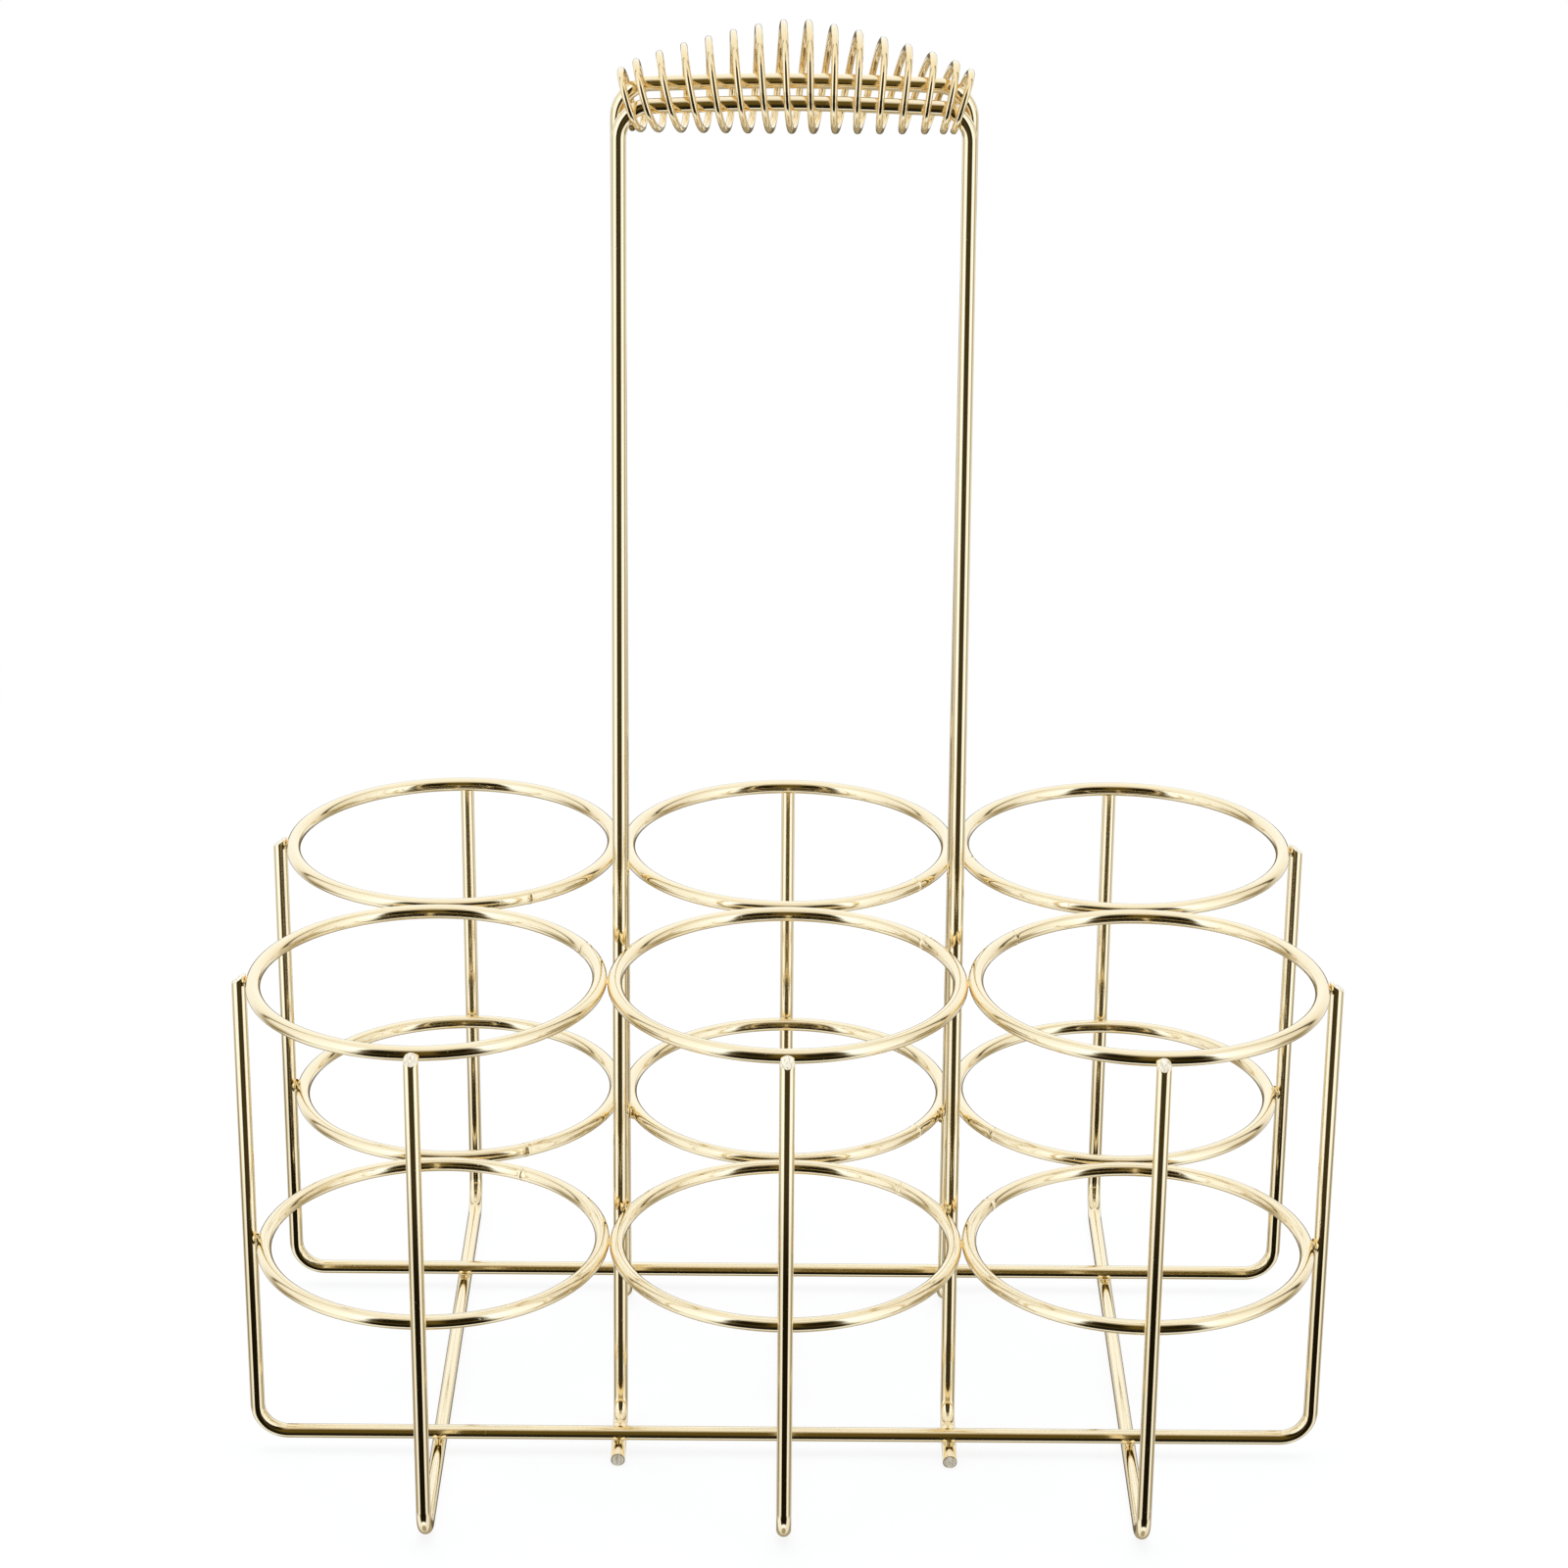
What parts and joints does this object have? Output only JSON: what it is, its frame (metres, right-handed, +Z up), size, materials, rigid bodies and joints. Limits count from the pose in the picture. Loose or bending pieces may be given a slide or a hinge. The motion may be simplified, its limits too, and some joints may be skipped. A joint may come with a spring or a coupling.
{
  "type": "bottle caddy",
  "caption": "Free-standing caddy of bent round wire: two tiers of bottle rings in two rows on U-shaped frames, under a tall double bail with a coiled spring grip.",
  "frame": {"origin": "on the surface that the caddy stands on, under the middle of its outline", "axes": "+Z up; +X along the row of three bottles; +Y from front to rear"},
  "size_m": [0.2624, 0.1774, 0.3461],
  "materials": {
    "plated_wire": "bright gold-tone plating over steel wire"
  },
  "bodies": {
    "caddy": {"centre_runner_frame": "plated_wire", "front_handle_bail": "plated_wire", "front_rail_frame": "plated_wire", "left_runner_frame": "plated_wire", "rear_handle_bail": "plated_wire", "rear_rail_frame": "plated_wire", "right_runner_frame": "plated_wire", "ring_lower_front_centre": "plated_wire", "ring_lower_front_left": "plated_wire", "ring_lower_front_right": "plated_wire", "ring_lower_rear_centre": "plated_wire", "ring_lower_rear_left": "plated_wire", "ring_lower_rear_right": "plated_wire", "ring_top_front_centre": "plated_wire", "ring_top_front_left": "plated_wire", "ring_top_front_right": "plated_wire", "ring_top_rear_centre": "plated_wire", "ring_top_rear_left": "plated_wire", "ring_top_rear_right": "plated_wire"},
    "grip": {"coil_grip": "plated_wire"}
  },
  "joints": [
    {"name": "grip_roll", "type": "hinge", "parent": "caddy", "child": "grip", "pos_m": [0, 0, 0.32735], "axis": [1, 0, 0], "range_deg": [-12, 12]}
  ]
}
